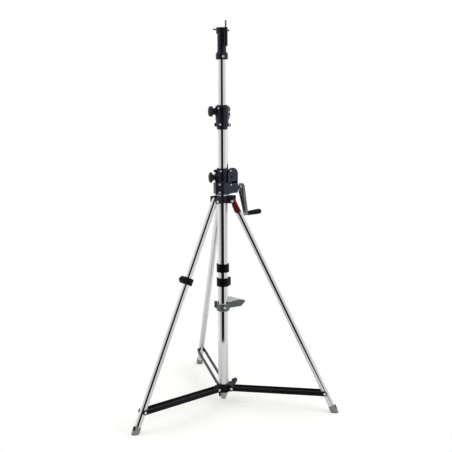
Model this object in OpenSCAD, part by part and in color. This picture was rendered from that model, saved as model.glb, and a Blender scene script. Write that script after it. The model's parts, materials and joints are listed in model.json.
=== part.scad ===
// Crank lighting stand: a three-section wind-up column on a folding tripod.
// Millimetres, +Z up. The floor is z = 0, and the origin is the centre of the stand's footprint.

/* [Column] */
// Outside diameter of the base column
base_tube_d = 50; // [49.6:0.1:50.4]
// Top of the base column above the floor
base_tube_top = 1141; // [1139:1:1143]
// Outside diameter of the middle column
mid_tube_d = 40; // [39.9:0.05:40.1]
// Outside diameter of the top column
top_tube_d = 34.6; // [34.5:0.05:34.7]
// How far the upper clamp's foot stands above the floor
clamp_z = 1326; // [1310:1:1400]
// Length of middle column from the upper clamp's foot down to its guide
mid_tube_reach = 1076; // [1000:1:1080]

/* [Tripod] */
// Radius of the circle through the three floor contacts
foot_r = 548; // [520:1:580]
// Height of the leg pins above the floor
leg_pin_z = 994; // [985:1:1000]
// Distance of the leg pins from the column's axis
leg_pin_r = 52; // [52:0.5:54]
// Outside diameter of the leg tubes
leg_tube_d = 30; // [29.6:0.1:30]
// Height of the brace hub's pins above the floor
hub_pin_z = 69; // [64:1:80]
// Distance from the floor contact to the brace pin, along the leg
brace_pin_s = 101; // [96:1:110]
// Height of the brace bars
brace_bar_h = 22; // [18:1:24]

/* [Crank] */
// Distance from the crank's shaft to its grip
crank_r = 130; // [100:1:140]
// Angle of the crank from straight down
crank_angle = 10; // [0:1:350]
// Length of the grip
grip_len = 90; // [70:1:100]

/* [Hidden] */
$fn = 64;
eps = 0.01;

LEGS = ["front", "right", "rear"];
leg_azimuth = [224, 344, 104];

// The column stands off the footprint's centre because the three feet are not symmetric about X or Y.
column_x = -foot_r * (cos(leg_azimuth[1]) + cos(leg_azimuth[0])) / 2;
column_y = -foot_r * (sin(leg_azimuth[2]) + sin(leg_azimuth[0])) / 2;

// Tubes
base_r = base_tube_d / 2;
base_bore = base_r - 1.5;
base_tube_foot = 47;
mid_r = mid_tube_d / 2;
mid_bore = mid_r - 1;
mid_tube_top = clamp_z + 106.5;
mid_tube_foot = clamp_z - mid_tube_reach;
top_r = top_tube_d / 2;
top_tube_top = 1690;
top_tube_foot = 430;
leg_r = leg_tube_d / 2;
leg_wall = 1.5;

// Legs
leg_tilt = atan((foot_r - leg_pin_r) / leg_pin_z);
leg_len = sqrt(pow(foot_r - leg_pin_r, 2) + pow(leg_pin_z, 2));
leg_tube_over = 13;
leg_tube_foot = 12;
sole_h = 3;
cap_r = 17.3;
cap_top_s = 32;
ear_reach = 7.5;
pin_r = 4;
pin_hole = 4.06;
rivet_head_r = 6.5;
rivet_head_h = 3;
ear_in = leg_r + 0.6;
ear_out = ear_in + 5;
levelling_r = 12.5;
levelling_bush_s = cap_top_s + 1;
levelling_rim = 2;
sleeve_r = 12.6;
sleeve_foot_s = leg_len - 62;
lever_pin_s = leg_len - 17;
lever_pin_x = -9;
lever_half = 5;

// Braces
hub_pin_r = 46;
hub_half = 15;
bar_in = 15.4;
bar_out = 20;
brace_out_r = foot_r - brace_pin_s * sin(leg_tilt);
brace_out_z = brace_pin_s * cos(leg_tilt);
brace_len = sqrt(pow(brace_out_r - hub_pin_r, 2) + pow(brace_out_z - hub_pin_z, 2));
brace_rise = atan((brace_out_z - hub_pin_z) / (brace_out_r - hub_pin_r));

// Gearbox, drawn in the plane that runs from the column's axis at this azimuth
gear_azimuth = 44;
pad_azimuth = 253;
knob_azimuth = 188;
lobe_azimuth = 200;
lug_azimuth = 196;
clamp_screw_azimuth = 256;
clamp_floor = 1025;
clamp_top = base_tube_top - 0.5;
cover_front = -37;
cover_back = -26.5;
cover_left = -23.5;
case_floor = 1028;
case_back = 20;
block_top = 1079;
dome_x = 33.6;
dome_z = 1115.1;
dome_r = 32.6;
slot_z = 1075;
slot_h = 10;
shaft_y = -10;
shaft_z = 1049;
lift_cable_x = 21.75;
pulley_x = 30;
pulley_z = 1103;
pulley_pitch = pulley_x - lift_cable_x;
drum_z = 1068.5;
drum_cable_r = 9.5;
drum_x = pulley_x + pulley_pitch + drum_cable_r;
worm_x = drum_x - 10.9;
cable_r = 0.7;
ferrule_z = base_tube_top - 11;
ferrule_len = 37;
knob_r = 25.5;
arm_x = 108;
arm_t = 14;
arm_lean = 8;
crank_foot_y = shaft_y - crank_r * sin(crank_angle);
crank_foot_z = shaft_z - crank_r * cos(crank_angle);
grip_x = arm_x + arm_t + arm_lean + 3;

// Support bracket low on the base column
bracket_azimuth = 15;
bracket_bolt_azimuth = 284;

// Upper clamp and its cable pulley
stage_z = clamp_z + 79;
stage_in = 18.15;
stage_out = 34;
stage_pulley_x = (stage_in + stage_out) / 2;
stage_pulley_pitch = (stage_out - stage_in) / 2;
clamp_cheek = 8;
clamp_head_r = 31.5;
clamp_waist_r = 30;
eye_x = 33;
eye_r = 2.8;

// Head
head_z = 1643;
head_top = 1786;
socket_r = 14.2;
socket_floor = 1702;
head_screw_azimuth = 95;
head_bolt_azimuth = 282;
spigot_azimuth = 310;
spigot_x = 28;
spigot_tip_r = 4.76;
spigot_neck_r = 4;
spigot_z = 1764;
head_screw_z = 1778;

BLACK = "#17181b";
BLUE_BLACK = "#23262f";
CAST = "#7d877f";
CHROME = "#d9dbde";
STEEL = "#b4b6b8";
RED = "#7d1420";
BRASS = "#a3834b";
BRONZE = "#a9743a";
NYLON = "#303236";

// ---------- helpers ----------

// +X points away from the column's axis at an azimuth
module facing(azimuth) {
  translate([column_x, column_y, 0]) rotate([0, 0, azimuth]) children();
}

// +Z runs up the leg from its floor contact, +X points outwards
module on_leg(i) {
  facing(leg_azimuth[i]) translate([foot_r, 0, 0]) rotate([0, -leg_tilt, 0]) children();
}

// +X runs along the brace from the hub's pin
module on_brace(i) {
  facing(leg_azimuth[i]) translate([hub_pin_r, 0, hub_pin_z]) rotate([0, -brace_rise, 0]) children();
}

module tube(r_out, r_in, z0, z1) {
  translate([0, 0, z0]) difference() {
    cylinder(r = r_out, h = z1 - z0);
    translate([0, 0, -1]) cylinder(r = r_in, h = z1 - z0 + 2);
  }
}

// A rod along Y, from y0 to y1
module rod_y(r, y0, y1) {
  translate([0, y1, 0]) rotate([90, 0, 0]) cylinder(r = r, h = y1 - y0);
}

// A rod along X, from x0 to x1
module rod_x(r, x0, x1) {
  translate([x0, 0, 0]) rotate([0, 90, 0]) cylinder(r = r, h = x1 - x0);
}

// An outline in the X-Z plane, given its thickness along Y
module plate_xz(y0, y1) {
  translate([0, y1, 0]) rotate([90, 0, 0]) linear_extrude(height = y1 - y0) children();
}

// A riveted pin along Y with a domed head at both ends
module rivet_y(half) {
  rod_y(pin_r, -half - eps, half + eps);
  for (side = [-1, 1]) translate([0, side * half, 0]) rotate([-90 * side, 0, 0]) rivet_head();
}

module rivet_head() {
  cylinder(r1 = rivet_head_r, r2 = rivet_head_r - 2.5, h = rivet_head_h);
}

// A round screw head along X with a socket in its face
module screw_x(r, h) {
  difference() {
    rod_x(r, 0, h);
    translate([h - 1.5, 0, 0]) rotate([0, 90, 0]) cylinder(r = r * 0.5, h = 2, $fn = 6);
  }
}

// A fluted round lock knob along X, with its threaded shank pointing back to the column
module lock_knob(r, x0, x1, shank_tip, shank_r) {
  difference() {
    rotate([0, 90, 0]) rotate_extrude() polygon([
      [0, shank_tip], [shank_r, shank_tip], [shank_r, x0], [r * 0.55, x0], [r * 0.8, x0 + 6],
      [r, x0 + 7.5], [r, x1 - 9], [r - 2, x1 - 5.5], [r - 6, x1 - 2.2], [r - 13, x1], [0, x1]
    ]);
    for (k = [0:7]) rotate([k * 45 + 22.5, 0, 0]) translate([0, 0, r + 3]) rod_x(5.5, x0 - 1, x1 + 1);
  }
}

// ---------- base column ----------

module pulley_cut(extra) {
  facing(gear_azimuth) translate([pulley_x, 0, pulley_z]) rod_y(pulley_pitch + 2.6, -4.5 - extra, 4.5 + extra);
}

module base_column() {
  color(CHROME) difference() {
    translate([column_x, column_y, 0]) tube(base_r, base_bore, base_tube_foot, base_tube_top);
    pulley_cut(0);
    facing(knob_azimuth) translate([0, 0, pulley_z]) rod_x(5.2, 15, base_r + 1);
  }
}

module base_plug() {
  color(CAST) translate([column_x, column_y, 0]) {
    translate([0, 0, 10]) cylinder(r1 = 11.5, r2 = 24.4, h = base_tube_foot - 10);
    translate([0, 0, base_tube_foot - eps]) cylinder(r = base_bore - 0.05, h = 30);
  }
}

module column_bush() {
  color(NYLON) difference() {
    translate([column_x, column_y, 0]) union() {
      tube(base_bore - 0.02, mid_r + 0.08, base_tube_top - 42, base_tube_top);
      tube(base_r + 1, mid_r + 0.08, base_tube_top, base_tube_top + 5);
    }
    pulley_cut(0.5);
    facing(gear_azimuth) translate([mid_r - 1, -1.6, base_tube_top - 60]) cube([5, 3.2, 60]);
    facing(knob_azimuth) translate([0, 0, pulley_z]) rod_x(5.2, 15, base_r + 1);
  }
}

// ---------- leg collar ----------

module collar_ear() {
  plate_xz(0, ear_out - ear_in) polygon([
    [base_r - 8, 984], [leg_pin_r + 2, 984], [leg_pin_r + ear_reach, 989],
    [leg_pin_r + ear_reach, 1018], [base_r - 8, 1018]
  ]);
}

module leg_collar() {
  color(BLACK) difference() {
    translate([column_x, column_y, 0]) union() {
      translate([0, 0, 984]) cylinder(r = 31, h = 34);
      for (az = leg_azimuth) rotate([0, 0, az]) {
        translate([0, ear_in, 0]) collar_ear();
        translate([0, -ear_out, 0]) collar_ear();
      }
    }
    translate([column_x, column_y, 980]) cylinder(r = base_r, h = 42);
    for (az = leg_azimuth) facing(az) translate([leg_pin_r, 0, leg_pin_z]) rod_y(pin_r, -40, 40);
  }
}

module collar_pins() {
  color(STEEL) for (az = leg_azimuth) {
    facing(az) translate([leg_pin_r, 0, leg_pin_z]) rivet_y(ear_out);
  }
}

// ---------- gearbox ----------

// Front outline of the gear case: a dome over a block that reaches back to the clamp's pad
module cover_outline(grow) {
  side = dome_r - 0.4 + grow;
  translate([dome_x, dome_z]) circle(r = dome_r + grow);
  polygon([
    [cover_left - grow, case_floor - grow], [dome_x + side, case_floor - grow], [dome_x + side, dome_z],
    [dome_x - side, dome_z], [dome_x - side, block_top + grow], [cover_left - grow, block_top + grow]
  ]);
}

module gearbox_housing() {
  case_right = dome_x + dome_r - 1.6;
  color(BLUE_BLACK) difference() {
    union() {
      translate([column_x, column_y, 0]) rotate_extrude() polygon([
        [0, clamp_floor], [37, clamp_floor], [37, 1080], [29, 1086], [29, clamp_top], [0, clamp_top]
      ]);
      // case behind the cover
      facing(gear_azimuth) plate_xz(cover_back - 3, case_back) polygon([
        [8, case_floor + 1.5], [case_right, case_floor + 1.5], [case_right, 1108],
        [case_right - 14, 1122], [8, 1122]
      ]);
      // boss that holds the upper cable's ferrule
      facing(gear_azimuth) translate([stage_out, 0, 1100]) cylinder(r = 7.5, h = 38);
      // flat pad for the two clamping screws
      facing(pad_azimuth) translate([20, -21, clamp_floor + 1]) cube([20, 42, 55]);
      // lobe that carries the front leg's side of the clamp
      facing(lobe_azimuth) translate([12, -22, clamp_floor + 2.5]) cube([25.2, 44, 50]);
      // boss under the lock knob, with a rib up to the top
      facing(knob_azimuth) translate([0, 0, pulley_z]) {
        rod_x(22, 20, 34);
        translate([34, 0, 0]) rotate([0, 90, 0]) cylinder(r1 = 22, r2 = 15, h = 4.5);
        translate([15, -14, 0]) cube([18, 28, clamp_top - pulley_z - 1]);
      }
      // small lug at the top left
      facing(lug_azimuth) translate([20, -6, clamp_top - 12]) cube([21.5, 12, 11.4]);
      // round boss for the crank's shaft
      facing(gear_azimuth) translate([0, shaft_y, shaft_z]) rod_x(13, 50, 90);
    }
    // bore for the base column
    translate([column_x, column_y, clamp_floor - 10]) cylinder(r = base_r, h = base_tube_top - clamp_floor + 20);
    // seat of the cover
    facing(gear_azimuth) plate_xz(-60, cover_back) cover_outline(0.25);
    pulley_cut(1);
    facing(gear_azimuth) {
      // recess in front of the pulley
      translate([31, cover_back - 1, pulley_z - 15]) cube([28, -cover_back - 3.5, 28]);
      // room for the worm, the wheel and the drum
      translate([29.5, cover_back - 1, 1034]) cube([32.5, 9 - cover_back, 48]);
      // channel for the cable between drum and pulley
      translate([33, -5.2, 1060]) cube([11, 10.4, 45]);
      translate([0, shaft_y, shaft_z]) rod_x(6.05, 27.5, arm_x);
      translate([drum_x, 0, drum_z]) rod_y(4, cover_back - 1, 13);
      translate([pulley_x, 0, pulley_z]) rod_y(4, cover_back - 1, 13);
      translate([stage_out, 0, ferrule_z]) cylinder(r = 4.05, h = 40);
    }
    facing(knob_azimuth) translate([0, 0, pulley_z]) rod_x(5.2, 15, 45);
  }
}

module gearbox_cover() {
  color(BLUE_BLACK) difference() {
    facing(gear_azimuth) plate_xz(cover_front, cover_back) difference() {
      cover_outline(0);
      translate([5, slot_z]) square([54, slot_h]);
    }
    // blind hole over the pulley
    facing(gear_azimuth) translate([25, 0, 1106]) rod_y(5.6, cover_front - 1, cover_front + 7);
  }
}

// Bright fasteners on the base: gearbox screws, cover screws and the bracket's bolt
module base_screws() {
  color(STEEL) {
    for (z = [1036, 1074]) facing(pad_azimuth) translate([40, 0, z]) screw_x(5, 4);
    facing(clamp_screw_azimuth) translate([29, 0, 1135]) screw_x(4, 3);
    for (p = [[19.8, 1069.5], [17, 1135]]) {
      facing(gear_azimuth) translate([p[0], cover_front, p[1]]) rotate([0, 0, -90]) screw_x(3.6, 2.4);
    }
    facing(bracket_bolt_azimuth) translate([33, 0, 479]) screw_x(6, 5);
  }
}

module gearbox_pins() {
  color(STEEL) facing(gear_azimuth) {
    translate([pulley_x, 0, pulley_z]) rod_y(4, cover_back + 0.3, 12.9);
    translate([drum_x, 0, drum_z]) rod_y(4, cover_back + 0.3, 12.9);
  }
}

module grooved_wheel(r_flange, r_core, half, rim) {
  rotate([90, 0, 0]) rotate_extrude() polygon([
    [pin_r + 0.06, -half], [r_flange, -half], [r_flange, -half + rim], [r_core, -half + rim + 0.6],
    [r_core, half - rim - 0.6], [r_flange, half - rim], [r_flange, half], [pin_r + 0.06, half]
  ]);
}

module guide_pulley() {
  color(NYLON) facing(gear_azimuth) translate([pulley_x, 0, pulley_z])
    grooved_wheel(pulley_pitch + 1.2, pulley_pitch - cable_r - 0.05, 3.5, 0.8);
}

module cable_drum() {
  color(STEEL) facing(gear_azimuth) translate([drum_x, 0, drum_z])
    grooved_wheel(12, drum_cable_r - cable_r - 0.05, 4.8, 1);
}

module worm_wheel() {
  teeth = 20;
  color(BRONZE) facing(gear_azimuth) translate([drum_x, shaft_y, drum_z]) difference() {
    union() {
      rod_y(10.6, -4, 4);
      for (k = [0:teeth - 1]) rotate([0, k * 360 / teeth, 0]) translate([10, -4, -0.7]) cube([2, 8, 1.4]);
      rod_y(7, 4 - eps, 5.2);
    }
    rod_y(pin_hole, -10, 10);
  }
}

module crank_shaft() {
  color(STEEL) facing(gear_azimuth) translate([0, shaft_y, shaft_z]) {
    rod_x(6, 28, arm_x + arm_t + 4);
    // worm, drawn as rings
    for (k = [0:7]) rod_x(6.9, worm_x + k * 3, worm_x + k * 3 + 1.4);
    // bright thrust collar outside the case
    rod_x(13.2, arm_x - 9, arm_x - 0.5);
  }
}

module crank_arm() {
  color(CAST) facing(gear_azimuth) difference() {
    union() {
      hull() {
        translate([arm_x, shaft_y, shaft_z]) rod_x(17.5, 0, arm_t);
        translate([arm_x + arm_lean, crank_foot_y, crank_foot_z]) rod_x(9.5, 0, arm_t);
      }
      translate([arm_x + arm_lean, crank_foot_y, crank_foot_z]) rod_x(9, 2, arm_t + 1.5);
    }
    // hollow back of the casting
    hull() {
      translate([arm_x - 3, shaft_y, shaft_z - 27]) rod_x(8, 0, 9);
      translate([arm_x + arm_lean - 3, crank_foot_y, crank_foot_z + 18]) rod_x(4.5, 0, 9);
    }
    translate([0, shaft_y, shaft_z]) rod_x(6, arm_x - 2, arm_x + arm_t + 1);
    translate([0, crank_foot_y, crank_foot_z]) rod_x(4, arm_x, arm_x + arm_t + arm_lean + 5);
  }
}

module grip_spindle() {
  color(STEEL) facing(gear_azimuth) translate([0, crank_foot_y, crank_foot_z])
    rod_x(4, arm_x + arm_lean + 0.5, grip_x + grip_len - 8);
}

module crank_grip() {
  color(BLACK) facing(gear_azimuth) translate([grip_x, crank_foot_y, crank_foot_z]) rotate([0, 90, 0])
    rotate_extrude() polygon(concat(
      [[pin_hole, 0], [9, 0], [10.5, 2]],
      [for (k = [0:6]) [10.8 + 2 * sin(15 * k), 6 + (grip_len - 16) * k / 6]],
      [for (a = [0:15:75]) [12.8 - 4.5 * (1 - cos(a)), grip_len - 8 + 8 * sin(a)]],
      [[7, grip_len], [0, grip_len], [0, grip_len - 7.5], [pin_hole, grip_len - 7.5]]
    ));
}

module gearbox_knob() {
  color(BLACK) facing(knob_azimuth) translate([0, 0, pulley_z]) lock_knob(knob_r, 41, 66, 24.6, 5);
}

// ---------- cables ----------

// From the drum up to the guide pulley, and down inside the base column
module lift_cable() {
  color(STEEL) facing(gear_azimuth) {
    translate([lift_cable_x, 0, mid_tube_foot + 30]) cylinder(r = cable_r, h = pulley_z - mid_tube_foot - 30);
    translate([pulley_x + pulley_pitch, 0, drum_z]) cylinder(r = cable_r, h = pulley_z - drum_z);
    translate([pulley_x, 0, pulley_z]) rotate([90, 0, 0])
      rotate_extrude(angle = 180) translate([pulley_pitch, 0]) circle(r = cable_r);
  }
}

// From the ferrule on the gearbox up to the upper clamp's pulley
module stage_cable_outer() {
  cable_foot = ferrule_z + ferrule_len;
  color(STEEL) facing(gear_azimuth)
    translate([stage_out, 0, cable_foot]) cylinder(r = cable_r, h = stage_z - cable_foot - 0.3);
}

module cable_ferrule() {
  color(BLACK) facing(gear_azimuth) translate([stage_out, 0, ferrule_z]) rotate_extrude() polygon([
    [0, 0], [4, 0], [4, 13], [3.4, 16], [1.5, ferrule_len], [0, ferrule_len]
  ]);
}

// Over the stage pulley and down between the middle and the top column
module stage_cable_inner() {
  color(STEEL) facing(gear_azimuth) {
    translate([stage_in, 0, top_tube_foot + 30]) cylinder(r = cable_r, h = stage_z - top_tube_foot - 30);
    translate([stage_pulley_x, 0, stage_z]) rotate([90, 0, 0])
      rotate_extrude(angle = 180) translate([stage_pulley_pitch, 0]) circle(r = cable_r);
  }
}

// ---------- middle column ----------

module stage_pulley_cut() {
  facing(gear_azimuth) translate([stage_pulley_x, 0, stage_z]) rod_y(9.6, -3, 3);
}

module mid_column() {
  color(CHROME) difference() {
    translate([column_x, column_y, 0]) tube(mid_r, mid_bore, mid_tube_foot, mid_tube_top);
    stage_pulley_cut();
    facing(knob_azimuth) translate([0, 0, clamp_z + 83]) rod_x(5.2, 15, mid_r + 1);
  }
}

module mid_column_guide() {
  color(NYLON) translate([column_x, column_y, 0]) {
    tube(base_bore - 0.1, mid_r, mid_tube_foot - eps, mid_tube_foot + 30);
    tube(base_bore - 0.1, 9, mid_tube_foot - 10, mid_tube_foot);
  }
}

module upper_clamp() {
  color(BLACK) difference() {
    union() {
      translate([column_x, column_y, 0]) rotate_extrude() polygon([
        [0, clamp_z], [24.5, clamp_z], [26, clamp_z + 12], [clamp_waist_r, clamp_z + 13],
        [clamp_waist_r, clamp_z + 43], [clamp_head_r, clamp_z + 44.5], [clamp_head_r, clamp_z + 106],
        [clamp_head_r - 2.5, clamp_z + 108.5], [0, clamp_z + 108.5]
      ]);
      // cheeks round the cable pulley
      facing(gear_azimuth) plate_xz(-clamp_cheek, clamp_cheek) {
        translate([10, clamp_z + 59]) square([34.3, 35]);
        translate([10, clamp_z + 47.3]) square([22.3, 58.4]);
        for (z = [clamp_z + 59.2, clamp_z + 93.8]) translate([32.5, z]) circle(r = 12);
      }
      // eye lug to the right and plain lug to the left
      facing(0) translate([eye_x, 0, clamp_z + 20]) rod_y(7.5, -3.5, 3.5);
      facing(180) translate([24, -4, clamp_z + 14]) cube([12, 8, 16]);
      // boss under the lock knob
      facing(knob_azimuth) translate([0, 0, clamp_z + 83]) {
        rod_x(17, 20, 37);
        translate([37, 0, 0]) rotate([0, 90, 0]) cylinder(r1 = 17, r2 = 13, h = 3.5);
      }
    }
    translate([column_x, column_y, clamp_z - 1]) cylinder(r = mid_r, h = 120);
    translate([column_x, column_y, mid_tube_top]) cylinder(r = 24.2, h = 20);
    facing(0) translate([eye_x, 0, clamp_z + 20]) rod_y(eye_r, -8, 8);
    facing(gear_azimuth) {
      translate([stage_pulley_x, 0, stage_z]) rod_y(9.6, -3, 3);
      translate([stage_out - 1.8, -1.6, clamp_z + 40]) cube([3.6, 3.2, 40]);
      translate([stage_pulley_x, 0, stage_z]) rod_y(2.5, -13, 13);
    }
    facing(knob_azimuth) translate([0, 0, clamp_z + 83]) rod_x(5.2, 15, 45);
  }
}

module upper_clamp_screws() {
  color(STEEL) {
    facing(gear_azimuth) {
      // the pulley's pin
      translate([stage_pulley_x, 0, stage_z]) rod_y(2.5, -clamp_cheek, clamp_cheek);
      for (z = [stage_z, clamp_z + 57]) {
        translate([38, -clamp_cheek, z]) rotate([0, 0, -90]) screw_x(3.6, 2.5);
      }
    }
    facing(252) translate([clamp_waist_r, 0, clamp_z + 24]) screw_x(5, 4);
    facing(240) translate([clamp_head_r, 0, clamp_z + 98]) screw_x(3.6, 2.8);
  }
}

module stage_pulley() {
  color(BRASS) facing(gear_azimuth) translate([stage_pulley_x, 0, stage_z]) rotate([90, 0, 0])
    rotate_extrude() polygon([
      [2.56, -2.2], [8.4, -2.2], [8.4, -1.5], [7.15, -0.9], [7.15, 0.9], [8.4, 1.5], [8.4, 2.2], [2.56, 2.2]
    ]);
}

module top_bush() {
  color(NYLON) difference() {
    translate([column_x, column_y, 0]) union() {
      tube(mid_bore - 0.02, top_r + 0.08, mid_tube_top - 46, mid_tube_top);
      tube(24, top_r + 0.08, mid_tube_top, mid_tube_top + 6);
    }
    facing(gear_azimuth) {
      translate([top_r - 1, -1.5, mid_tube_top - 60]) cube([3.4, 3, 59]);
      translate([stage_pulley_x, 0, stage_z]) rod_y(9.6, -3, 3);
    }
  }
}

module upper_knob() {
  color(BLACK) facing(knob_azimuth) translate([0, 0, clamp_z + 83]) lock_knob(knob_r - 1, 41, 66, 20.3, 5);
}

// ---------- top column and head ----------

module top_column() {
  color(CHROME) translate([column_x, column_y, 0]) tube(top_r, top_r - 1.5, top_tube_foot, top_tube_top);
}

module top_column_guide() {
  color(NYLON) translate([column_x, column_y, 0]) {
    tube(mid_bore - 0.1, top_r, top_tube_foot - eps, top_tube_foot + 30);
    tube(mid_bore - 0.1, 8, top_tube_foot - 8, top_tube_foot);
  }
}

module head_socket() {
  color(BLACK) difference() {
    translate([column_x, column_y, 0]) union() {
      translate([0, 0, head_z]) cylinder(r1 = 26, r2 = 28, h = 3);
      translate([0, 0, head_z + 3 - eps]) cylinder(r = 28, h = 22);
      translate([0, 0, head_z + 25 - 2 * eps]) cylinder(r1 = 28, r2 = 20.5, h = 13);
      translate([0, 0, head_z + 38 - 3 * eps]) cylinder(r = 20.5, h = head_top - head_z - 38 - 3);
      translate([0, 0, 1755]) cylinder(r1 = 20.5, r2 = 26, h = 5);
      translate([0, 0, 1760 - eps]) cylinder(r = 26, h = head_top - 1763);
      translate([0, 0, head_top - 3]) cylinder(r1 = 26, r2 = 24, h = 3);
      // side post that carries the threaded tip
      rotate([0, 0, spigot_azimuth]) {
        translate([spigot_x, 0, 1703]) cylinder(r = 8.8, h = head_top - 1703 - 2);
        translate([spigot_x, 0, head_top - 2 - eps]) cylinder(r1 = 8.8, r2 = 6.8, h = 2);
        translate([14, -5, 1706]) cube([spigot_x - 14, 10, head_top - 1712]);
      }
    }
    translate([column_x, column_y, socket_floor]) cylinder(r = socket_r, h = 100);
    translate([column_x, column_y, head_z - 1]) cylinder(r = top_r, h = top_tube_top - head_z + 1);
    translate([column_x, column_y, head_z]) cylinder(r = 5, h = 80);
    facing(head_screw_azimuth) translate([0, 0, head_screw_z]) rod_x(4.1, 5, 40);
    facing(head_bolt_azimuth) translate([0, 0, 1657]) rod_x(4, 12, 40);
    facing(spigot_azimuth) translate([spigot_x, 0, spigot_z]) cylinder(r = spigot_neck_r, h = 40);
  }
}

module head_bolt() {
  color(STEEL) facing(head_bolt_azimuth) translate([0, 0, 1657]) {
    rod_x(4, top_r + 0.2, 28);
    translate([28 - eps, 0, 0]) screw_x(6, 4);
  }
}

module spigot_tip() {
  color(BRASS) facing(spigot_azimuth) translate([spigot_x, 0, 0]) rotate_extrude() polygon([
    [0, spigot_z], [spigot_neck_r, spigot_z], [spigot_neck_r, head_top + 2], [spigot_tip_r, head_top + 3],
    [spigot_tip_r, head_top + 29], [spigot_tip_r - 1.5, head_top + 31], [0, head_top + 31]
  ]);
}

// Locking screw of the socket with its cross bar
module head_screw() {
  bar_half = 34;
  color(BLACK) facing(head_screw_azimuth) translate([0, 0, head_screw_z]) {
    rod_x(4, socket_r + 0.6, 44);
    rod_x(7, 42, 54);
    translate([48, -2, 0]) rotate([4, 0, 0]) {
      rod_y(3.2, -bar_half, bar_half);
      for (side = [-1, 1]) translate([0, side * bar_half, 0]) sphere(r = 4);
    }
  }
}

// ---------- braces ----------

module brace_hub() {
  color(BLACK) difference() {
    union() {
      translate([column_x, column_y, 50]) cylinder(r = 33, h = 38);
      for (az = leg_azimuth) facing(az) plate_xz(-hub_half, hub_half) {
        translate([20, 54]) square([hub_pin_r - 20, 30]);
        translate([hub_pin_r, hub_pin_z]) circle(r = 10.5);
      }
      // boss of the lock knob
      facing(gear_azimuth) translate([0, 0, hub_pin_z + 7]) rod_x(11, 20, 42);
      // stop tab under the front
      facing(232) translate([27.5, -4, 30]) cube([5, 8, 24]);
    }
    translate([column_x, column_y, 0]) cylinder(r = base_r + 0.1, h = 120);
    for (az = leg_azimuth) facing(az) translate([hub_pin_r, 0, hub_pin_z]) rod_y(pin_r, -20, 20);
    facing(gear_azimuth) translate([0, 0, hub_pin_z + 7]) rod_x(5.2, 15, 45);
  }
}

module hub_rivets() {
  color(STEEL) for (az = leg_azimuth) {
    facing(az) translate([hub_pin_r, 0, hub_pin_z]) rivet_y(bar_out + 0.4);
  }
}

module hub_knob() {
  color(BLACK) facing(gear_azimuth) translate([0, 0, hub_pin_z + 7]) {
    rod_x(5, base_r + 0.6, 58);
    rod_x(8, 44, 64);
    plate_xz(-4.5, 4.5) {
      translate([62, -12]) square([20, 28]);
      translate([80, 6]) circle(r = 12);
      translate([68, -8]) circle(r = 8);
    }
  }
}

module brace(i) {
  color(BLACK) on_brace(i) for (y = [bar_in, -bar_out]) difference() {
    plate_xz(y, y + bar_out - bar_in) difference() {
      union() {
        translate([0, -brace_bar_h / 2]) square([brace_len, brace_bar_h]);
        for (x = [0, brace_len]) translate([x, 0]) circle(r = brace_bar_h / 2);
      }
      circle(r = pin_hole);
    }
    translate([brace_len, 0, 0]) rod_y(pin_r, -30, 30);
  }
}

module brace_rivets(i) {
  color(STEEL) on_brace(i) translate([brace_len, 0, 0]) for (side = [-1, 1]) {
    rod_y(pin_r, side > 0 ? bar_in : -bar_out - eps, side > 0 ? bar_out + eps : -bar_in);
    translate([0, side * bar_out, 0]) rotate([-90 * side, 0, 0]) rivet_head();
  }
}

// ---------- legs ----------

module leg_tube(i) {
  foot_s = i == 1 ? levelling_bush_s + levelling_rim : leg_tube_foot;
  top_s = i == 1 ? sleeve_foot_s : leg_len + leg_tube_over;
  color(CHROME) difference() {
    on_leg(i) tube(leg_r, leg_r - leg_wall, foot_s, top_s);
    on_leg(i) translate([0, 0, leg_len]) rod_y(pin_hole, -20, 20);
  }
}

module foot_cap(i) {
  tube_r = i == 1 ? levelling_r : leg_r;
  color(CAST) difference() {
    intersection() {
      on_leg(i) translate([0, 0, -30]) cylinder(r = cap_r, h = cap_top_s + 30);
      facing(leg_azimuth[i]) translate([foot_r - 60, -40, sole_h]) cube([120, 80, 80]);
    }
    on_leg(i) translate([0, 0, leg_tube_foot]) cylinder(r = tube_r, h = 40);
    // seat of the rubber insert on the outer side
    on_leg(i) translate([15.8, -7.6, 12]) cube([10, 15.2, 18]);
  }
}

module foot_pad(i) {
  color(BLACK) {
    intersection() {
      on_leg(i) translate([0, 0, -30]) cylinder(r = cap_r - 0.5, h = 80);
      facing(leg_azimuth[i]) translate([foot_r - 60, -40, 0]) cube([120, 80, sole_h]);
    }
    on_leg(i) translate([15.9, -7.4, 12.2]) cube([1.8, 14.8, 17.6]);
  }
}

module leg_clip() {
  color(BLACK) on_leg(0) translate([0, 0, 718]) difference() {
    union() {
      translate([0, 0, -16]) cylinder(r = 20, h = 32);
      translate([-20, -17, -16]) cube([50, 34, 32]);
      translate([26, 0, 0]) rod_y(13, -17, 17);
    }
    translate([0, 0, -30]) cylinder(r = leg_r, h = 60);
    // slit that the clamping ears close
    translate([leg_r - 3, -1.2, -20]) cube([40, 2.4, 40]);
  }
}

// ---------- levelling leg ----------

module release_sleeve() {
  color(RED) on_leg(1) {
    difference() {
      union() {
        translate([0, 0, sleeve_foot_s]) rotate_extrude() polygon([
          [0, -34], [leg_r - leg_wall - 0.05, -34], [leg_r - leg_wall - 0.05, 0], [sleeve_r, 0.5],
          [sleeve_r, 67], [sleeve_r - 3, 71], [0, 71]
        ]);
        translate([0, 0, leg_len]) rod_y(9, -15.4, 15.4);
      }
      translate([0, 0, leg_len]) rod_y(pin_hole, -20, 20);
      // groove of the lever
      translate([-20, -lever_half - 0.4, sleeve_foot_s + 2]) cube([15.5, 2 * lever_half + 0.8, 50]);
    }
    translate([lever_pin_x, 0, lever_pin_s]) rod_y(2, -lever_half - 1.4, lever_half + 1.4);
  }
}

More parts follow.
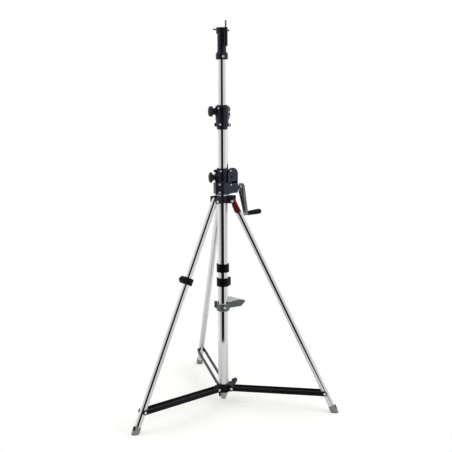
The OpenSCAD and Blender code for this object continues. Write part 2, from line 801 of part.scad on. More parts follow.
module release_lever() {
  lever = [
    [-13, 5], [-5.2, 5], [-5.2, -4], [-9.5, -8], [-11.5, -37], [-13.5, -40], [-16.3, -38.5], [-15.5, -10]
  ];
  color(RED) on_leg(1) difference() {
    translate([0, 0, lever_pin_s]) plate_xz(-lever_half, lever_half) polygon(lever);
    translate([lever_pin_x, 0, lever_pin_s]) rod_y(2.06, -20, 20);
  }
}

module levelling_bush() {
  rim_top = levelling_bush_s + levelling_rim;
  color(NYLON) on_leg(1) {
    tube(leg_r - 0.2, levelling_r + 0.08, levelling_bush_s, rim_top);
    tube(leg_r - leg_wall - 0.02, levelling_r + 0.08, rim_top - eps, rim_top + 30);
  }
}

module levelling_tube() {
  color(CHROME) on_leg(1) tube(levelling_r, levelling_r - 1.5, leg_tube_foot, 560);
}

// ---------- clips and support bracket on the base column ----------

module column_clip(z, azimuth, reach) {
  difference() {
    union() {
      translate([column_x, column_y, z]) cylinder(r = 30, h = 39);
      facing(azimuth) translate([reach, 0, z]) cylinder(r = 8.6, h = 39);
    }
    translate([column_x, column_y, z - 1]) cylinder(r = base_r, h = 41);
    facing(azimuth) translate([reach, 0, z - 1]) cylinder(r = 5.6, h = 41);
    facing(azimuth) translate([reach, -3.4, z - 1]) cube([20, 6.8, 41]);
    facing(azimuth + 180) translate([20, -1.5, z - 1]) cube([20, 3, 41]);
  }
}

module column_clips() {
  color(BLACK) {
    column_clip(650, 68, 34);
    column_clip(581, 24, 32);
  }
}

// A solid given by its side outline and its plan outline, both running out along +X
module two_outlines(side, plan) {
  intersection() {
    linear_extrude(height = 600) polygon(plan);
    plate_xz(-40, 40) polygon(side);
  }
}

module support_bracket() {
  color(CAST) difference() {
    union() {
      translate([column_x, column_y, 0]) rotate_extrude()
        polygon([[0, 459], [31, 459], [33, 467], [33, 494.5], [0, 494.5]]);
      // arm that narrows and thins outwards, with a top that also falls towards the front
      facing(bracket_azimuth) intersection() {
        two_outlines(
          [[15, 475], [15, 520], [29, 522.5], [88, 508], [110, 501], [110, 494], [88, 475]],
          [[10, -27], [32, -25], [88, -11], [111, -3.4], [111, 3.4], [88, 11], [32, 25], [10, 27]]
        );
        rotate([90, 0, 90]) linear_extrude(height = 150) polygon([[-35, 440], [-35, 501], [35, 529], [35, 440]]);
      }
      // two ears of the clamp on the far side
      for (side = [-1, 1]) facing(knob_azimuth) translate([28, side * 6.5 - 2, 474]) cube([14, 4, 31]);
    }
    translate([column_x, column_y, 440]) cylinder(r = base_r, h = 110);
    // hollow on the arm's underside
    facing(bracket_azimuth) two_outlines(
      [[40, 440], [40, 499], [84, 493], [84, 440]],
      [[38, -17], [92, -5], [92, 5], [38, 17]]
    );
    facing(knob_azimuth) translate([20, -4.5, 440]) cube([30, 9, 90]);
  }
}

// ---------- drawing ----------

base_column();
base_plug();
leg_collar();
collar_pins();
gearbox_housing();
gearbox_cover();
base_screws();
gearbox_pins();
column_bush();
column_clips();
support_bracket();
lift_cable();
stage_cable_outer();
cable_ferrule();
crank_shaft();
crank_arm();
grip_spindle();
crank_grip();
worm_wheel();
cable_drum();
guide_pulley();
gearbox_knob();
mid_column();
mid_column_guide();
upper_clamp();
upper_clamp_screws();
top_bush();
stage_cable_inner();
stage_pulley();
upper_knob();
top_column();
top_column_guide();
head_socket();
head_bolt();
spigot_tip();
head_screw();
brace_hub();
hub_rivets();
hub_knob();
leg_clip();
release_sleeve();
release_lever();
levelling_bush();
levelling_tube();
for (i = [0:2]) {
  leg_tube(i);
  foot_cap(i);
  foot_pad(i);
  brace(i);
  brace_rivets(i);
}
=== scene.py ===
"""Crank lighting stand: finishes, fine detail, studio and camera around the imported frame.

Metres, +Z up, in the frame's own axes. Places come from the frame's nodes and joints.
"""
import json
import math

import bpy
from mathutils import Matrix, Vector


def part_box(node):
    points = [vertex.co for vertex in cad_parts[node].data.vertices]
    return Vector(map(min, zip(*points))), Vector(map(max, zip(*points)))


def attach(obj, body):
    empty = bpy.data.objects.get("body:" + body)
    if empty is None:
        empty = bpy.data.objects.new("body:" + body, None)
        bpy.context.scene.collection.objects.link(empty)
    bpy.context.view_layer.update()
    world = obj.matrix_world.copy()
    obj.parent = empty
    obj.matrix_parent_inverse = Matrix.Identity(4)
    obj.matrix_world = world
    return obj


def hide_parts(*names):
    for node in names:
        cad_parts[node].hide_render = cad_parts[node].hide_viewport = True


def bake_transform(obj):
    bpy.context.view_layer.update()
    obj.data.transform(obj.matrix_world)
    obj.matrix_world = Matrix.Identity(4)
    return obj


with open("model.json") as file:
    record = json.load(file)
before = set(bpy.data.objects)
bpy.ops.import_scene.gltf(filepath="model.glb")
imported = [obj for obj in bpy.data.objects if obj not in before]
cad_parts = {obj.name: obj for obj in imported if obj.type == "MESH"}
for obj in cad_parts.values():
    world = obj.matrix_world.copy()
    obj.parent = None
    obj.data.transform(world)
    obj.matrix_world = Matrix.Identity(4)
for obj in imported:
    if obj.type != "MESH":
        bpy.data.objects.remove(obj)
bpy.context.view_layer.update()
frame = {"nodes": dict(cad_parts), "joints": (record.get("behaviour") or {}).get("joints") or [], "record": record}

NODES = frame["nodes"]
JOINTS = {joint["name"]: joint for joint in frame["joints"]}
SLOT_OF = {part["node"]: part["material_slot"] for part in frame["record"]["subparts"]}


def centre_of(node):
    low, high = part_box(node)
    return (low + high) / 2


# The foot of the column's axis
COLUMN = centre_of("base_column").xy.to_3d()
# Where a leg's axis meets the floor, and how far its tube runs on above its upper pin
FOOT_RADIUS = 0.548
TUBE_ABOVE_PIN = 0.013
# Radius of the cables inside the column
WIRE_RADIUS = 0.0007


# ---------- camera ----------

# The camera stands this far from the column's axis, and looks down and a little to its right
CAMERA_OFFSET = Vector((0, -3.7359, 1.5442))
CAMERA_PITCH = math.radians(10.214)
CAMERA_YAW = math.radians(0.242)
CAMERA_ROLL = math.radians(-0.238)
CAMERA_LENS = 63.85


def make_camera():
    camera = bpy.data.objects.new("camera", bpy.data.cameras.new("camera"))
    bpy.context.scene.collection.objects.link(camera)
    turn = Matrix.Rotation(-CAMERA_YAW, 4, "Z")
    tilt = Matrix.Rotation(math.pi / 2 - CAMERA_PITCH, 4, "X")
    roll = Matrix.Rotation(CAMERA_ROLL, 4, "Z")
    camera.matrix_world = Matrix.Translation(COLUMN + CAMERA_OFFSET) @ turn @ tilt @ roll
    camera.data.lens = CAMERA_LENS
    camera.data.sensor_width = 36
    camera.data.clip_end = 100
    bpy.context.scene.camera = camera


# ---------- node helpers ----------

class Surface:
    """A Principled material with short calls for the nodes that shape its look."""

    def __init__(self, name, colour, roughness, metallic=0.0, specular=0.5, tint=(1, 1, 1)):
        self.material = bpy.data.materials.new(name)
        self.material.use_nodes = True
        self.nodes = self.material.node_tree.nodes
        self.links = self.material.node_tree.links
        self.shader = self.nodes["Principled BSDF"]
        self.shader.inputs["Base Color"].default_value = (*colour, 1)
        self.shader.inputs["Roughness"].default_value = roughness
        self.shader.inputs["Metallic"].default_value = metallic
        self.shader.inputs["Specular IOR Level"].default_value = specular
        self.shader.inputs["Specular Tint"].default_value = (*tint, 1)
        self.place = self.nodes.new("ShaderNodeTexCoord").outputs["Object"]

    def noise(self, scale, stretch=(1, 1, 1), detail=3.0, rough=0.55):
        """Noise in the piece's own coordinates, from 0 to 1, with scale in cycles per metre."""
        mapping = self.nodes.new("ShaderNodeMapping")
        mapping.inputs["Scale"].default_value = stretch
        self.links.new(self.place, mapping.inputs["Vector"])
        noise = self.nodes.new("ShaderNodeTexNoise")
        noise.inputs["Scale"].default_value = scale
        noise.inputs["Detail"].default_value = detail
        noise.inputs["Roughness"].default_value = rough
        self.links.new(mapping.outputs["Vector"], noise.inputs["Vector"])
        return noise.outputs["Fac"]

    def remap(self, value, low, high, to_low=0.0, to_high=1.0):
        node = self.nodes.new("ShaderNodeMapRange")
        node.inputs["From Min"].default_value = low
        node.inputs["From Max"].default_value = high
        node.inputs["To Min"].default_value = to_low
        node.inputs["To Max"].default_value = to_high
        self.links.new(value, node.inputs["Value"])
        return node.outputs["Result"]

    def times(self, a, b):
        node = self.nodes.new("ShaderNodeMath")
        node.operation = "MULTIPLY"
        self.links.new(a, node.inputs[0])
        self.links.new(b, node.inputs[1])
        return node.outputs["Value"]

    def mix(self, factor, colour_a, colour_b):
        """A colour between two, each an RGB triple or a node's output."""
        node = self.nodes.new("ShaderNodeMix")
        node.data_type = "RGBA"
        self.links.new(factor, node.inputs["Factor"])
        for socket, colour in (("A", colour_a), ("B", colour_b)):
            target = next(i for i in node.inputs if i.name == socket and i.type == "RGBA")
            if isinstance(colour, tuple):
                target.default_value = (*colour, 1)
            else:
                self.links.new(colour, target)
        return next(o for o in node.outputs if o.type == "RGBA")

    def worn_edges(self, radius, reach):
        """1 on sharp outer and inner edges, 0 on flat faces, broken up by noise."""
        bevel = self.nodes.new("ShaderNodeBevel")
        bevel.samples = 4
        bevel.inputs["Radius"].default_value = radius
        flat = self.nodes.new("ShaderNodeNewGeometry")
        dot = self.nodes.new("ShaderNodeVectorMath")
        dot.operation = "DOT_PRODUCT"
        self.links.new(bevel.outputs["Normal"], dot.inputs[0])
        self.links.new(flat.outputs["Normal"], dot.inputs[1])
        edge = self.remap(dot.outputs["Value"], 1.0, 1.0 - reach)
        patches = self.remap(self.noise(90, detail=4.0), 0.42, 0.62)
        return self.times(edge, patches)

    def upper_faces(self):
        """1 on faces that look up, 0 on sides and undersides."""
        split = self.nodes.new("ShaderNodeSeparateXYZ")
        self.links.new(self.nodes.new("ShaderNodeNewGeometry").outputs["Normal"], split.inputs[0])
        return self.remap(split.outputs["Z"], 0.6, 0.9)

    def colour(self, source):
        self.links.new(source, self.shader.inputs["Base Color"])

    def roughness(self, source):
        self.links.new(source, self.shader.inputs["Roughness"])

    def relief(self, height, strength, depth):
        bump = self.nodes.new("ShaderNodeBump")
        bump.inputs["Strength"].default_value = strength
        bump.inputs["Distance"].default_value = depth
        self.links.new(height, bump.inputs["Height"])
        self.links.new(bump.outputs["Normal"], self.shader.inputs["Normal"])


# ---------- materials ----------

def chrome():
    """Polished plating with faint lengthwise polishing lines, smears and a trace of waviness."""
    s = Surface("chrome", (0.78, 0.785, 0.80), 0.06, metallic=1.0)
    smear = s.noise(9, (1, 1, 0.4), detail=4.0)
    s.colour(s.mix(s.remap(smear, 0.35, 0.7), (0.80, 0.80, 0.81), (0.70, 0.71, 0.73)))
    lines = s.noise(700, (1, 1, 0.02), detail=2.0)
    s.roughness(s.remap(lines, 0.3, 0.75, 0.035, 0.11))
    s.relief(s.noise(40, (1, 1, 0.15), detail=1.0), 0.03, 0.0004)
    return s.material


def powder_coat(name, base, light, worn, roughness, specular=0.4, tint=(0.82, 0.87, 1.0), peel=0.28,
                painted_lit_top=None):
    """Satin powder coat on a casting: orange-peel texture, cloudy tone, rubbed edges and, if given, a painted
    highlight that lightens the upward faces.
    """
    s = Surface(name, base, roughness, specular=specular, tint=tint)
    cloud = s.remap(s.noise(28, detail=5.0), 0.3, 0.7)
    tone = s.mix(cloud, base, light)
    # Painted highlight: upward faces take a lighter colour in place of light falling from above
    if painted_lit_top:
        tone = s.mix(s.upper_faces(), tone, painted_lit_top)
    edge = s.worn_edges(0.0011, 0.35)
    s.colour(s.mix(edge, tone, worn))
    s.roughness(s.remap(s.noise(160, detail=3.0), 0.25, 0.75, roughness - 0.07, roughness + 0.09))
    s.relief(s.noise(1300, detail=2.0), peel, 0.00022)
    return s.material


def flat_bar_paint():
    """Semi-gloss black paint on flat bar, thin along the bar's corners."""
    s = Surface("black_bar", (0.002, 0.003, 0.004), 0.3, specular=0.16, tint=(0.8, 0.9, 1.0))
    edge = s.worn_edges(0.0013, 0.3)
    tone = s.mix(s.remap(s.noise(14), 0.3, 0.7), (0.0015, 0.002, 0.003), (0.004, 0.005, 0.006))
    s.colour(s.mix(edge, tone, (0.05, 0.05, 0.056)))
    s.roughness(s.remap(s.noise(120, detail=4.0), 0.3, 0.7, 0.24, 0.38))
    s.relief(s.noise(420, detail=2.0), 0.12, 0.0002)
    return s.material


def moulded(name, base, light, roughness, grain=1900, depth=0.00012, specular=0.3, tint=(0.9, 0.9, 1.0)):
    """Moulded plastic or nylon with a fine grain and a slight sheen where hands rub it."""
    s = Surface(name, base, roughness, specular=specular, tint=tint)
    s.colour(s.mix(s.remap(s.noise(45, detail=4.0), 0.35, 0.7), base, light))
    s.roughness(s.remap(s.noise(70, detail=3.0), 0.3, 0.7, roughness - 0.08, roughness + 0.08))
    s.relief(s.noise(grain, detail=2.0), 0.3, depth)
    return s.material


def rubber():
    s = Surface("rubber", (0.018, 0.018, 0.018), 0.8, specular=0.3)
    dust = s.remap(s.noise(60, detail=5.0), 0.45, 0.75)
    s.colour(s.mix(dust, (0.016, 0.016, 0.016), (0.06, 0.058, 0.055)))
    s.roughness(s.remap(s.noise(200), 0.3, 0.7, 0.7, 0.9))
    s.relief(s.noise(2200, detail=1.0), 0.35, 0.0002)
    return s.material


def turned_metal(name, bright, dull, low, high, spots=60):
    """Machined or plated metal: cloudy tarnish over a fine turned grain."""
    s = Surface(name, bright, low, metallic=1.0)
    tarnish = s.remap(s.noise(spots, detail=5.0), 0.38, 0.68)
    s.colour(s.mix(tarnish, bright, dull))
    s.roughness(s.remap(s.noise(900, (1, 1, 0.1), detail=2.0), 0.3, 0.7, low, high))
    s.relief(s.noise(1600, (1, 1, 0.08), detail=1.0), 0.12, 0.00008)
    return s.material


def zinc_plate():
    """Bright zinc on screws and rivets, blurred enough to catch light from all sides."""
    s = Surface("zinc_plate", (0.9, 0.91, 0.93), 0.42, metallic=0.45, specular=0.6)
    s.colour(s.mix(s.remap(s.noise(220, detail=4.0), 0.4, 0.7), (0.92, 0.93, 0.95), (0.72, 0.73, 0.75)))
    s.roughness(s.remap(s.noise(500), 0.3, 0.7, 0.34, 0.5))
    return s.material


FINISHES = {
    "chrome": chrome(),
    "black_casting": powder_coat(
        "black_casting", (0.004, 0.0045, 0.008), (0.008, 0.009, 0.015), (0.05, 0.05, 0.055), 0.32,
        tint=(0.8, 0.86, 1.0)),
    "blue_black_casting": powder_coat(
        "blue_black_casting", (0.006, 0.007, 0.014), (0.012, 0.014, 0.024), (0.08, 0.085, 0.10), 0.32,
        tint=(0.8, 0.88, 1.0)),
    "grey_casting": powder_coat(
        "grey_casting", (0.105, 0.13, 0.115), (0.165, 0.195, 0.175), (0.42, 0.44, 0.42), 0.34,
        tint=(0.95, 1, 0.97)),
    "black_bar": flat_bar_paint(),
    "black_paint": powder_coat(
        "black_paint", (0.004, 0.004, 0.005), (0.007, 0.007, 0.008), (0.1, 0.1, 0.1), 0.34, specular=0.3),
    "bright_steel": turned_metal("bright_steel", (0.86, 0.86, 0.87), (0.62, 0.62, 0.63), 0.2, 0.34),
    "cable": turned_metal("cable", (0.42, 0.42, 0.43), (0.25, 0.25, 0.25), 0.32, 0.5, spots=200),
    "brass": turned_metal("brass", (0.50, 0.45, 0.37), (0.30, 0.27, 0.22), 0.3, 0.46, spots=150),
    "bronze": turned_metal("bronze", (0.55, 0.34, 0.18), (0.33, 0.2, 0.1), 0.3, 0.45),
    "nylon": moulded("nylon", (0.012, 0.012, 0.013), (0.02, 0.02, 0.022), 0.45),
    "black_plastic": moulded("black_plastic", (0.004, 0.004, 0.005), (0.008, 0.008, 0.010), 0.4),
    "rubber": rubber(),
    "red_plastic": moulded("red_plastic", (0.12, 0.004, 0.009), (0.18, 0.007, 0.015), 0.36, specular=0.2),
}

# Finishes of single parts, in place of the one for their material slot
KNOB_PLASTIC = moulded("knob_plastic", (0.010, 0.009, 0.016), (0.018, 0.016, 0.026), 0.4, specular=0.4)
GRIP_PLASTIC = moulded(
    "grip_plastic", (0.002, 0.002, 0.002), (0.004, 0.004, 0.004), 0.26, grain=1200, specular=0.08)
CLIP_PLASTIC = moulded("clip_plastic", (0.001, 0.001, 0.002), (0.003, 0.003, 0.005), 0.42, specular=0.1)
FOOT_CASTING = powder_coat(
    "foot_casting", (0.24, 0.245, 0.235), (0.33, 0.335, 0.32), (0.5, 0.5, 0.49), 0.5, tint=(1, 1, 1))
# The bracket's upward faces are painted lighter, a painted highlight for light from above
BRACKET_CASTING = powder_coat(
    "bracket_casting", (0.07, 0.085, 0.075), (0.115, 0.135, 0.12), (0.36, 0.38, 0.36), 0.2,
    specular=0.7, tint=(0.97, 1, 0.98), peel=0.04, painted_lit_top=(0.62, 0.65, 0.63))
# The base plug is painted lighter than the foot caps to offset the shade it sits in under the hub: painted light
PLUG_CASTING_PAINTED_LIGHTER = powder_coat(
    "plug_casting_painted_lighter", (0.42, 0.45, 0.41), (0.55, 0.58, 0.53), (0.7, 0.7, 0.68), 0.4, tint=(1, 1, 1))
HUB_CASTING = powder_coat(
    "hub_casting", (0.003, 0.003, 0.004), (0.006, 0.006, 0.007), (0.05, 0.05, 0.055), 0.36, specular=0.14)
ZINC_PLATE = zinc_plate()
SPECIAL = {
    "crank_grip": GRIP_PLASTIC,
    "base_plug": PLUG_CASTING_PAINTED_LIGHTER,
    "support_bracket": BRACKET_CASTING,
    "brace_hub": HUB_CASTING,
}
for group, finish in (
    (("gearbox_knob", "upper_knob", "hub_knob"), KNOB_PLASTIC),
    (("column_clips", "leg_clip"), CLIP_PLASTIC),
    (("foot_cap_front", "foot_cap_right", "foot_cap_rear"), FOOT_CASTING),
    (("base_screws", "upper_clamp_screws", "head_bolt"), ZINC_PLATE),
    (("collar_pins", "hub_rivets"), ZINC_PLATE),
    (("brace_rivets_front", "brace_rivets_right", "brace_rivets_rear"), ZINC_PLATE),
):
    for name in group:
        SPECIAL[name] = finish

# Radius of the rounded corners on each kind of node; the chrome tubes keep their own shading
ROUNDING = {
    "black_casting": 0.0011,
    "blue_black_casting": 0.0012,
    "grey_casting": 0.0012,
    "black_bar": 0.0009,
    "black_paint": 0.0006,
    "bright_steel": 0.0005,
    "black_plastic": 0.001,
    "nylon": 0.0004,
    "rubber": 0.0006,
    "red_plastic": 0.0009,
}
SPLIT_ANGLE = math.radians(34)
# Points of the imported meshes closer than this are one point
WELD_REACH = 0.000004


def finish_nodes():
    """Gives every CAD node its finish, and rounds the corners of all but the plated and turned ones."""
    for name, node in NODES.items():
        slot = SLOT_OF[name]
        node.data.materials.clear()
        node.data.materials.append(SPECIAL.get(name, FINISHES[slot]))
        if slot in ROUNDING:
            weld = node.modifiers.new("weld", "WELD")
            weld.merge_threshold = WELD_REACH
            bevel = node.modifiers.new("rounding", "BEVEL")
            bevel.width = ROUNDING[slot]
            bevel.segments = 2
            bevel.limit_method = "ANGLE"
            bevel.angle_limit = SPLIT_ANGLE
            bevel.harden_normals = True
            evened = node.modifiers.new("evened", "WEIGHTED_NORMAL")
            evened.keep_sharp = True


# ---------- mesh helpers ----------

def add_piece(name, vertices, faces, material, body):
    """A smooth piece that rides on a body, or on none when no body is given."""
    mesh = bpy.data.meshes.new(name)
    mesh.from_pydata([tuple(v) for v in vertices], [], faces)
    mesh.validate()
    mesh.polygons.foreach_set("use_smooth", [True] * len(mesh.polygons))
    mesh.materials.append(material)
    piece = bpy.data.objects.new(name, mesh)
    bpy.context.scene.collection.objects.link(piece)
    if body:
        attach(piece, body)
    return piece


def ring_faces(rings, sides, start=0):
    """Quads between rings of points, with a fan over each end."""
    faces = []
    for k in range(rings - 1):
        for j in range(sides):
            a = start + k * sides + j
            b = start + k * sides + (j + 1) % sides
            faces.append((a, b, b + sides, a + sides))
    faces.append(tuple(start + j for j in reversed(range(sides))))
    faces.append(tuple(start + (rings - 1) * sides + j for j in range(sides)))
    return faces


# ---------- fine pieces ----------

def threaded_tip():
    """The brass post's thread, a ridge that climbs round it, with a chamfered end."""
    low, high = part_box("spigot_tip")
    centre = (low + high) / 2
    # below the thread the post is inside the head
    length, inside_cad = 0.0305, 0.995
    low.z = max(low.z, high.z - length)
    outer = (high.x - low.x) / 2 * inside_cad
    depth, pitch, sides, per_turn = 0.0009, 0.0016, 32, 6
    chamfer, chamfer_slope = 0.0016, 0.8
    rings = int((high.z - low.z) / pitch * per_turn)
    vertices = []
    for k in range(rings + 1):
        z = low.z + (high.z - low.z) * k / rings
        end_radius = outer - chamfer + (high.z - z) * chamfer_slope
        for j in range(sides):
            angle = 2 * math.pi * j / sides
            phase = (z / pitch - j / sides) % 1
            ridge = abs(2 * phase - 1)
            radius = min(outer - depth * (1 - ridge), end_radius)
            vertices.append((centre.x + radius * math.cos(angle), centre.y + radius * math.sin(angle), z))
    faces = ring_faces(rings + 1, sides)
    piece = add_piece("threaded_tip", vertices, faces, FINISHES["brass"], "top")
    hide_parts("spigot_tip")


def lathe(place, axis, profile, sides, radius_at):
    """Vertices and faces of a shape turned round an axis from (radius, height) pairs."""
    turn = Vector((0, 0, 1)).rotation_difference(axis)
    vertices = []
    for k, (radius, height) in enumerate(profile):
        for j in range(sides):
            angle = 2 * math.pi * j / sides
            reach = radius_at(k, radius, angle)
            point = Vector((reach * math.cos(angle), reach * math.sin(angle), height))
            vertices.append(place + turn @ point)
    return vertices, ring_faces(len(profile), sides)


def lock_knob(node, joint_name, body, rim_back):
    """A moulded knob with eight soft lobes, a domed face, a ring groove and a centre cap.

    Heights run outwards from the joint's place, and rim_back is where the rim starts.
    """
    joint = JOINTS[joint_name]
    low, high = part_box(node)
    rim = (high.z - low.z) / 2
    place, axis = Vector(joint["pos_m"]), Vector(joint["axis"]).normalized()
    back, front = -0.011, 0.014
    shank_radius, shank_length = 0.005, 0.0164
    shank_and_back = [
        (shank_radius, back - shank_length),
        (shank_radius, back),
        (rim * 0.52, back),
        (rim * 0.74, rim_back - 0.0035),
    ]
    scalloped_rim = [
        (rim * 0.96, rim_back - 0.0017),
        (rim, rim_back),
        (rim, front - 0.0108),
        (rim * 0.985, front - 0.009),
        (rim * 0.95, front - 0.0072),
        (rim * 0.86, front - 0.0045),
    ]
    face = [
        (rim * 0.72, front - 0.0025),
        (rim * 0.55, front - 0.0012),
        (rim * 0.52, front - 0.0022),
        (rim * 0.48, front - 0.0022),
        (rim * 0.45, front - 0.0008),
        (rim * 0.3, front - 0.0002),
        (rim * 0.12, front),
    ]
    first, last = len(shank_and_back), len(shank_and_back) + len(scalloped_rim)
    lobes, lobe_depth, sides = 8, 0.0022, 96

    def radius_at(ring, radius, angle):
        if first <= ring < last:
            return radius - lobe_depth * (0.5 - 0.5 * math.cos(lobes * angle)) ** 2
        return radius

    vertices, faces = lathe(place, axis, shank_and_back + scalloped_rim + face, sides, radius_at)
    piece = add_piece(node + "_lobed", vertices, faces, KNOB_PLASTIC, body)
    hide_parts(node)


def end_plug(leg):
    """A black plug with a domed rim in the open top of a leg tube."""
    pin = Vector(JOINTS["leg_%s_fold" % leg]["pos_m"])
    outwards = (pin.xy - COLUMN.xy).normalized().to_3d()
    foot = COLUMN + outwards * FOOT_RADIUS
    up = (pin - foot).normalized()
    top = pin + up * TUBE_ABOVE_PIN
    stem, rim, depth = 0.0133, 0.015, 0.012
    profile = [
        (stem, -depth),
        (stem, 0.0),
        (rim, 0.0),
        (0.0151, 0.0008),
        (0.0147, 0.0016),
        (0.0125, 0.0024),
        (0.008, 0.0029),
        (0.001, 0.003),
    ]
    vertices, faces = lathe(top, up, profile, 48, lambda ring, radius, angle: radius)
    add_piece("end_plug_" + leg, vertices, faces, FINISHES["black_plastic"], "leg_" + leg)


def stranded_cable():
    """The outer cable as six strands laid round a core, left in place on no body."""
    low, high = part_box("stage_cable_outer")
    centre = (low + high) / 2
    radius = (high.x - low.x) / 2
    around_core, inside_cad = 6, 0.98
    strand = radius / 3 * inside_cad
    lay, sides, per_turn = 0.011, 6, 12
    turns = (high.z - low.z) / lay
    rings = int(turns * per_turn) + 1
    vertices, faces = [], []
    for strand_index in range(around_core + 1):
        offset = 0 if strand_index == around_core else radius - strand
        start = len(vertices)
        for k in range(rings):
            z = low.z + (high.z - low.z) * k / (rings - 1)
            around = 2 * math.pi * (strand_index / around_core + turns * k / (rings - 1))
            middle = centre.xy + offset * Vector((math.cos(around), math.sin(around)))
            for j in range(sides):
                angle = 2 * math.pi * j / sides
                point = middle + strand * Vector((math.cos(angle), math.sin(angle)))
                vertices.append((point.x, point.y, z))
        faces += ring_faces(rings, sides, start)
    piece = add_piece("stranded_cable", vertices, faces, FINISHES["cable"], None)
    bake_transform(piece)
    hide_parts("stage_cable_outer")


def swept_wire(path, across):
    """Vertices and faces of a round wire along points that lie in the plane square to across."""
    vertices = []
    sides = 8
    for k, point in enumerate(path):
        along = (path[min(k + 1, len(path) - 1)] - path[max(k - 1, 0)]).normalized()
        beside = along.cross(across)
        for j in range(sides):
            angle = 2 * math.pi * j / sides
            vertices.append(point + WIRE_RADIUS * (math.cos(angle) * beside + math.sin(angle) * across))
    return vertices, ring_faces(len(path), sides)


def running_cable(node, joint_name, pulley_body, far_end):
    """A cable over a pulley, with a straight run down the column that is left in place on no body.

    The loop rides with the pulley's body, and runs on down to the height far_end on its outer side.
    """
    joint = JOINTS[joint_name]
    low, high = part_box(node)
    centre, across = Vector(joint["pos_m"]), Vector(joint["axis"]).normalized()
    outwards = across.cross(Vector((0, 0, 1)))
    pitch = high.z - centre.z - WIRE_RADIUS
    loop = []
    for degrees in range(0, 181, 6):
        angle = math.radians(degrees)
        over = Vector((0, 0, pitch * math.sin(angle)))
        loop.append(centre + over - pitch * math.cos(angle) * outwards)
    if far_end:
        loop.append(Vector((loop[-1].x, loop[-1].y, far_end)))
    vertices, faces = swept_wire(loop, across)
    add_piece(node + "_loop", vertices, faces, FINISHES["cable"], pulley_body)
    top, foot = loop[0], Vector((loop[0].x, loop[0].y, low.z))
    steps = 60
    path = [top.lerp(foot, k / steps) for k in range(steps + 1)]
    vertices, faces = swept_wire(path, across)
    run = add_piece(node + "_run", vertices, faces, FINISHES["cable"], None)
    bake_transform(run)
    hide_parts(node)


# ---------- studio ----------

# The dark side of the studio stands behind the camera, and shows in the chrome as one stripe.
# It ends at these bearings left and right of the camera and at this height, each edge blurred.
DARK_LEFT = math.radians(38)
DARK_LEFT_BLUR = math.radians(12)
DARK_RIGHT = math.radians(29)
DARK_RIGHT_BLUR = math.radians(4)
DARK_TOP = math.radians(44)
DARK_TOP_BLUR = math.radians(26)
DARK_GLOW = 0.014
# The white walls are dimmer along a seam at this bearing on both sides
WALL_GLOW = 0.62
PANEL_GLOW = 0.3
PANEL_SEAM = math.radians(62)
SEAM_CORE = 0.02
SEAM_BLUR = 0.4
# The floor is dimmer in reflections than to the eye
FLOOR_RADIUS = 0.94
FLOOR_COLOUR = (0.795, 0.8, 0.775, 1)
FLOOR_GLOW_COLOUR = (1, 1, 0.98, 1)
FLOOR_GLOW = 0.31
FLOOR_GLOW_IN_CHROME = 0.05


def make_studio():
    """White walls and a dark side behind the camera in reflections, plain white to the eye."""
    world = bpy.data.worlds.new("studio")
    bpy.context.scene.world = world
    world.use_nodes = True
    nodes, links = world.node_tree.nodes, world.node_tree.links
    background = nodes["Background"]

    def math_node(operation, a, b=None):
        node = nodes.new("ShaderNodeMath")
        node.operation = operation
        for socket, value in zip(node.inputs, (a, b)):
            if isinstance(value, (int, float)):
                socket.default_value = value
            elif value is not None:
                links.new(value, socket)
        return node.outputs["Value"]

    def step(value, low, high):
        node = nodes.new("ShaderNodeMapRange")
        node.interpolation_type = "SMOOTHSTEP"
        node.inputs["From Min"].default_value = low
        node.inputs["From Max"].default_value = high
        links.new(value, node.inputs["Value"])
        return node.outputs["Result"]

    split = nodes.new("ShaderNodeSeparateXYZ")
    links.new(nodes.new("ShaderNodeTexCoord").outputs["Generated"], split.inputs[0])
    x, y, z = split.outputs
    azimuth = math_node("ARCTAN2", x, math_node("MULTIPLY", y, -1.0))
    leftwards = math_node("MULTIPLY", azimuth, -1.0)
    right = step(azimuth, DARK_RIGHT - DARK_RIGHT_BLUR, DARK_RIGHT + DARK_RIGHT_BLUR)
    left = step(leftwards, DARK_LEFT - DARK_LEFT_BLUR, DARK_LEFT + DARK_LEFT_BLUR)
    above = step(math_node("ARCSINE", z), DARK_TOP, DARK_TOP + DARK_TOP_BLUR)
    lit = math_node("MAXIMUM", math_node("MAXIMUM", left, right), above)
    off_seam = math_node("SUBTRACT", math_node("ABSOLUTE", azimuth), PANEL_SEAM)
    panel = step(math_node("ABSOLUTE", off_seam), SEAM_CORE, SEAM_BLUR)
    wall = math_node("ADD", math_node("MULTIPLY", panel, PANEL_GLOW), WALL_GLOW)
    glow = math_node("ADD", math_node("MULTIPLY", lit, wall), DARK_GLOW)
    camera_ray = nodes.new("ShaderNodeLightPath").outputs["Is Camera Ray"]
    strength = math_node("MAXIMUM", glow, camera_ray)
    links.new(strength, background.inputs["Strength"])
    background.inputs["Color"].default_value = (1, 1, 1, 1)


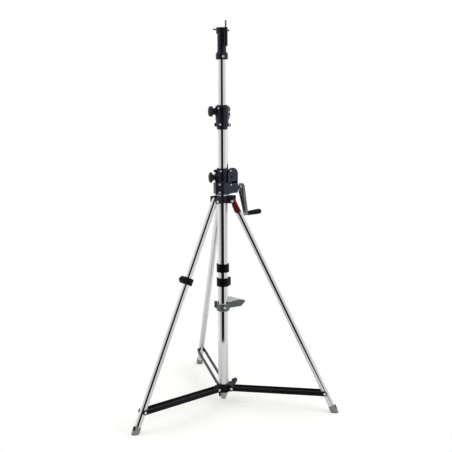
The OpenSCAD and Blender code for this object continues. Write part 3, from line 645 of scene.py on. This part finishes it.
def make_floor():
    """A round pale floor, white to the eye except for soft contact shadows."""
    ring = []
    for degrees in range(0, 360, 3):
        angle = math.radians(degrees)
        ring.append(COLUMN + FLOOR_RADIUS * Vector((math.cos(angle), math.sin(angle), 0)))
    mesh = bpy.data.meshes.new("floor")
    mesh.from_pydata([tuple(v) for v in ring], [], [tuple(range(len(ring)))])
    material = bpy.data.materials.new("floor")
    material.use_nodes = True
    shader = material.node_tree.nodes["Principled BSDF"]
    shader.inputs["Base Color"].default_value = FLOOR_COLOUR
    shader.inputs["Roughness"].default_value = 0.9
    shader.inputs["Specular IOR Level"].default_value = 0.0
    shader.inputs["Emission Color"].default_value = FLOOR_GLOW_COLOUR
    camera_ray = material.node_tree.nodes.new("ShaderNodeLightPath").outputs["Is Camera Ray"]
    glow = material.node_tree.nodes.new("ShaderNodeMapRange")
    glow.inputs["To Min"].default_value = FLOOR_GLOW_IN_CHROME
    glow.inputs["To Max"].default_value = FLOOR_GLOW
    material.node_tree.links.new(camera_ray, glow.inputs["Value"])
    material.node_tree.links.new(glow.outputs["Result"], shader.inputs["Emission Strength"])
    mesh.materials.append(material)
    floor = bpy.data.objects.new("floor", mesh)
    bpy.context.scene.collection.objects.link(floor)


# Two softboxes light the stand's middle, and don't show in the chrome
SOFTBOX_SIZE = 1.6
SOFTBOX_AIM = COLUMN + Vector((0, 0, 1.0))


def make_softbox(name, offset, power):
    data = bpy.data.lights.new(name, "AREA")
    data.size = SOFTBOX_SIZE
    data.energy = power
    light = bpy.data.objects.new(name, data)
    bpy.context.scene.collection.objects.link(light)
    light.location = COLUMN + offset
    light.rotation_mode = "QUATERNION"
    light.rotation_quaternion = (SOFTBOX_AIM - light.location).to_track_quat("-Z", "Y")
    light.visible_glossy = False


# ---------- assembly ----------

make_camera()
finish_nodes()
threaded_tip()
stranded_cable()
running_cable("lift_cable", "guide_pulley_turn", "base", far_end=centre_of("cable_drum").z)
running_cable("stage_cable_inner", "stage_pulley_turn", "mid", far_end=None)
lock_knob("gearbox_knob", "gearbox_knob_turn", "gearbox_knob", rim_back=-0.0005)
lock_knob("upper_knob", "upper_knob_turn", "upper_knob", rim_back=-0.006)
end_plug("front")
end_plug("rear")
make_studio()
make_floor()
bpy.context.scene.view_settings.view_transform = "Standard"
make_softbox("right_softbox", Vector((2.6, -1.0, 2.2)), 26)
make_softbox("left_softbox", Vector((-2.8, -0.6, 2.0)), 14)
